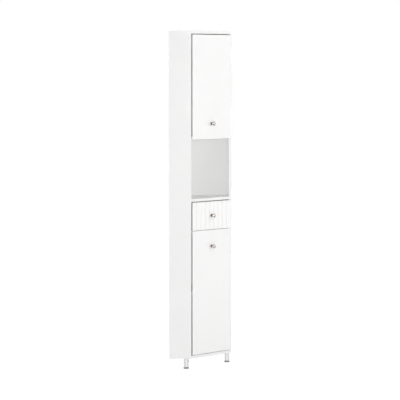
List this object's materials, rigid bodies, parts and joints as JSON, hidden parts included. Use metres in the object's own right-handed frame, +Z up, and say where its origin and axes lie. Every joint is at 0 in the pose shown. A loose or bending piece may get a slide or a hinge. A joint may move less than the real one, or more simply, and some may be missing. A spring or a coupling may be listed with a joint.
{
  "type": "corner bathroom cabinet",
  "caption": "Tall narrow white corner cabinet with a diagonal front: upper door, open niche, fluted drawer on ball runners, lower door, small round knobs and levelling feet.",
  "frame": {"origin": "on the floor under the middle of the square of wall and side that the cabinet fills", "axes": "+X right, +Y back, +Z up; the room's corner is at -X +Y and the diagonal front faces +X -Y"},
  "size_m": [0.33, 0.33, 1.775],
  "materials": {
    "panel_white": "white melamine board, satin",
    "front_white": "white lacquered board, smooth satin",
    "chrome": "polished",
    "satin_steel": "satin",
    "zinc_steel": "zinc plated",
    "hinge_steel": "nickel plated",
    "ball_steel": "polished balls",
    "pale_plastic": "moulded",
    "dark_plastic": "moulded",
    "magnet": "magnet between steel plates"
  },
  "bodies": {
    "carcass": {"left_side_panel": "panel_white", "right_side_panel": "panel_white", "left_back_panel": "panel_white", "right_back_panel": "panel_white", "bottom_board": "panel_white", "top_board": "panel_white", "niche_floor": "panel_white", "niche_ceiling": "panel_white", "bay_floor": "panel_white", "upper_shelf": "panel_white", "lower_shelf": "panel_white", "shelf_pins": "zinc_steel", "left_runner_board": "panel_white", "right_runner_board": "panel_white", "left_cabinet_runner": "zinc_steel", "right_cabinet_runner": "zinc_steel", "upper_frame_leaves": "hinge_steel", "lower_frame_leaves": "hinge_steel", "upper_hinge_pins": "hinge_steel", "lower_hinge_pins": "hinge_steel", "upper_catch": "dark_plastic", "lower_catch": "dark_plastic", "upper_magnet": "magnet", "lower_magnet": "magnet", "carcass_screws": "zinc_steel", "cam_fittings": "zinc_steel", "front_left_leg": "satin_steel", "front_right_leg": "satin_steel", "rear_leg": "satin_steel", "leg_sockets": "pale_plastic", "leg_screws": "zinc_steel"},
    "front_left_foot": {"front_left_pad": "dark_plastic"},
    "front_right_foot": {"front_right_pad": "dark_plastic"},
    "rear_foot": {"rear_pad": "dark_plastic"},
    "upper_door_body": {"upper_door": "front_white", "upper_knob": "chrome", "upper_knob_screw": "zinc_steel", "upper_strike_plate": "zinc_steel", "upper_door_leaves": "hinge_steel", "upper_door_screws": "zinc_steel"},
    "lower_door_body": {"lower_door": "front_white", "lower_knob": "chrome", "lower_knob_screw": "zinc_steel", "lower_strike_plate": "zinc_steel", "lower_door_leaves": "hinge_steel", "lower_door_screws": "zinc_steel"},
    "drawer_body": {"drawer_front": "front_white", "drawer_left_side": "panel_white", "drawer_right_side": "panel_white", "drawer_back": "panel_white", "drawer_bottom": "panel_white", "drawer_knob": "chrome", "drawer_knob_screw": "zinc_steel", "left_drawer_runner": "zinc_steel", "right_drawer_runner": "zinc_steel", "drawer_screws": "zinc_steel"},
    "left_cage_body": {"left_ball_cage": "zinc_steel", "left_runner_balls": "ball_steel"},
    "right_cage_body": {"right_ball_cage": "zinc_steel", "right_runner_balls": "ball_steel"}
  },
  "joints": [
    {"name": "upper_door_swing", "type": "hinge", "parent": "carcass", "child": "upper_door_body", "pos_m": [0.162, 0.04575, 1.4825], "axis": [0, 0, 1], "range_deg": [0, 120]},
    {"name": "lower_door_swing", "type": "hinge", "parent": "carcass", "child": "lower_door_body", "pos_m": [0.162, 0.04575, 0.3995], "axis": [0, 0, 1], "range_deg": [0, 120]},
    {"name": "drawer_slide", "type": "slide", "parent": "carcass", "child": "drawer_body", "axis": [0.7071, -0.7071, 0], "range_m": [0, 0.095]},
    {"name": "left_cage_slide", "type": "slide", "parent": "carcass", "child": "left_cage_body", "axis": [0.7071, -0.7071, 0], "range_m": [0, 0.0475]},
    {"name": "right_cage_slide", "type": "slide", "parent": "carcass", "child": "right_cage_body", "axis": [0.7071, -0.7071, 0], "range_m": [0, 0.0475]},
    {"name": "front_left_pad_turn", "type": "hinge", "parent": "carcass", "child": "front_left_foot", "pos_m": [-0.075, -0.143, 0.007], "axis": [0, 0, 1], "continuous": true},
    {"name": "front_right_pad_turn", "type": "hinge", "parent": "carcass", "child": "front_right_foot", "pos_m": [0.143, 0.075, 0.007], "axis": [0, 0, 1], "continuous": true},
    {"name": "rear_pad_turn", "type": "hinge", "parent": "carcass", "child": "rear_foot", "pos_m": [-0.075, 0.075, 0.007], "axis": [0, 0, 1], "continuous": true}
  ],
  "couplings": [
    {"joint": "left_cage_slide", "follows": "drawer_slide", "ratio": 0.5},
    {"joint": "right_cage_slide", "follows": "drawer_slide", "ratio": 0.5}
  ]
}
